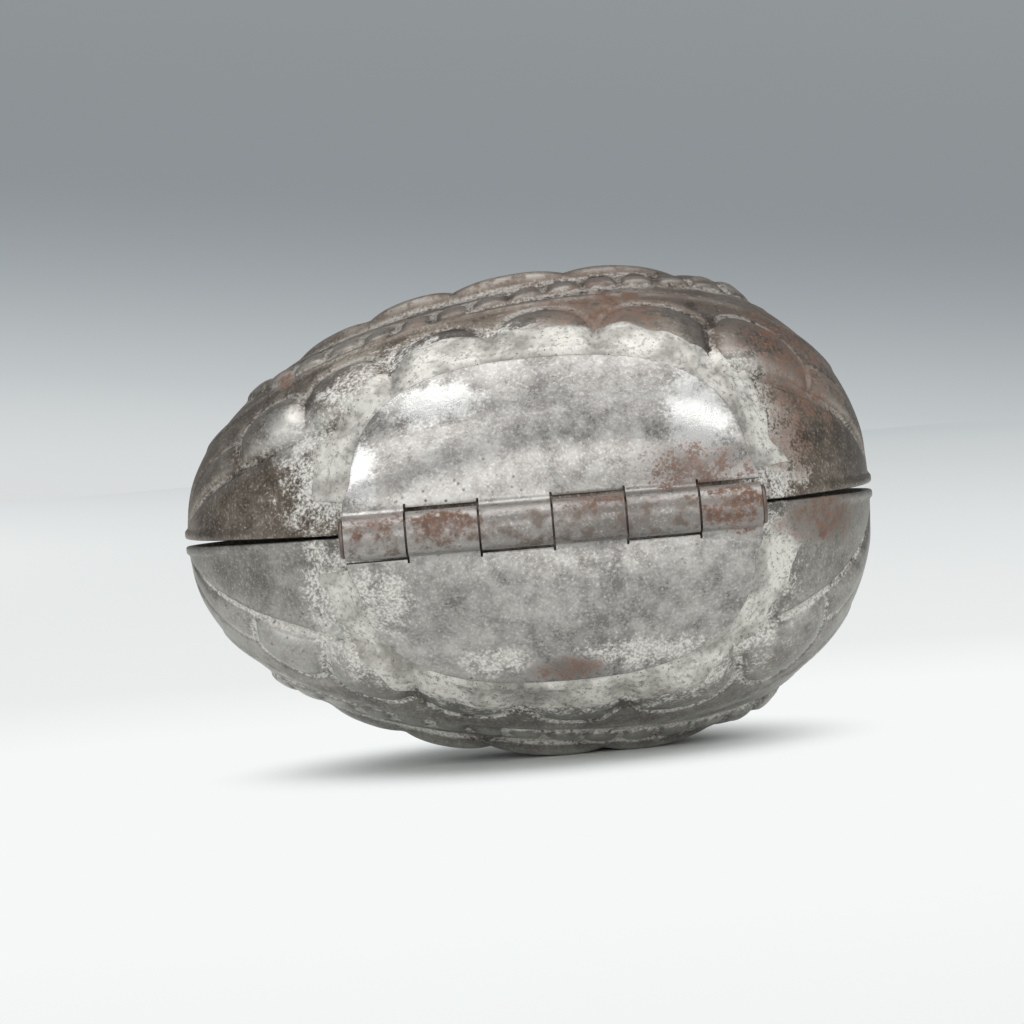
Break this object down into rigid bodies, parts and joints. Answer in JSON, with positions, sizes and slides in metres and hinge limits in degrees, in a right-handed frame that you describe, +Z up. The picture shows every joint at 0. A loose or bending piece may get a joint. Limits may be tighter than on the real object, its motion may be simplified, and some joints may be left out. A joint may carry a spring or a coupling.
{
  "type": "hinged chocolate egg mould",
  "caption": "Hinged two-part tinned sheet mould for a chocolate egg, embossed with scallops, beads and domes, with D-shaped hinge leaves soldered over the rims.",
  "frame": {"origin": "the table under the middle of the egg's length, level with the lowest of the cushions on its lower crown, on which it stands", "axes": "+X along the egg towards its blunt end, -Y towards the hinge, +Z up through both halves"},
  "size_m": [0.1008, 0.0747, 0.0708],
  "materials": {
    "upper_tinplate": "tinned sheet, aged brown-grey, pitted, with rust spots",
    "lower_tinplate": "tinned sheet, aged grey, pitted",
    "leaf_tinplate": "worn bright tinned sheet with rust at the knuckles",
    "solder": "dull whitish soft solder and dried flux",
    "pin_steel": "plain drawn steel wire, dull"
  },
  "bodies": {
    "lower_half": {"lower_shell": "lower_tinplate", "lower_hinge_leaf": "leaf_tinplate", "lower_leaf_solder": "solder", "hinge_pin": "pin_steel"},
    "upper_half": {"upper_shell": "upper_tinplate", "upper_hinge_leaf": "leaf_tinplate", "upper_leaf_solder": "solder"}
  },
  "joints": [
    {"name": "side_hinge", "type": "hinge", "parent": "lower_half", "child": "upper_half", "pos_m": [0.0033, -0.03725, 0.03472], "axis": [1, 0, 0], "range_deg": [-1.7, 178.3]}
  ]
}
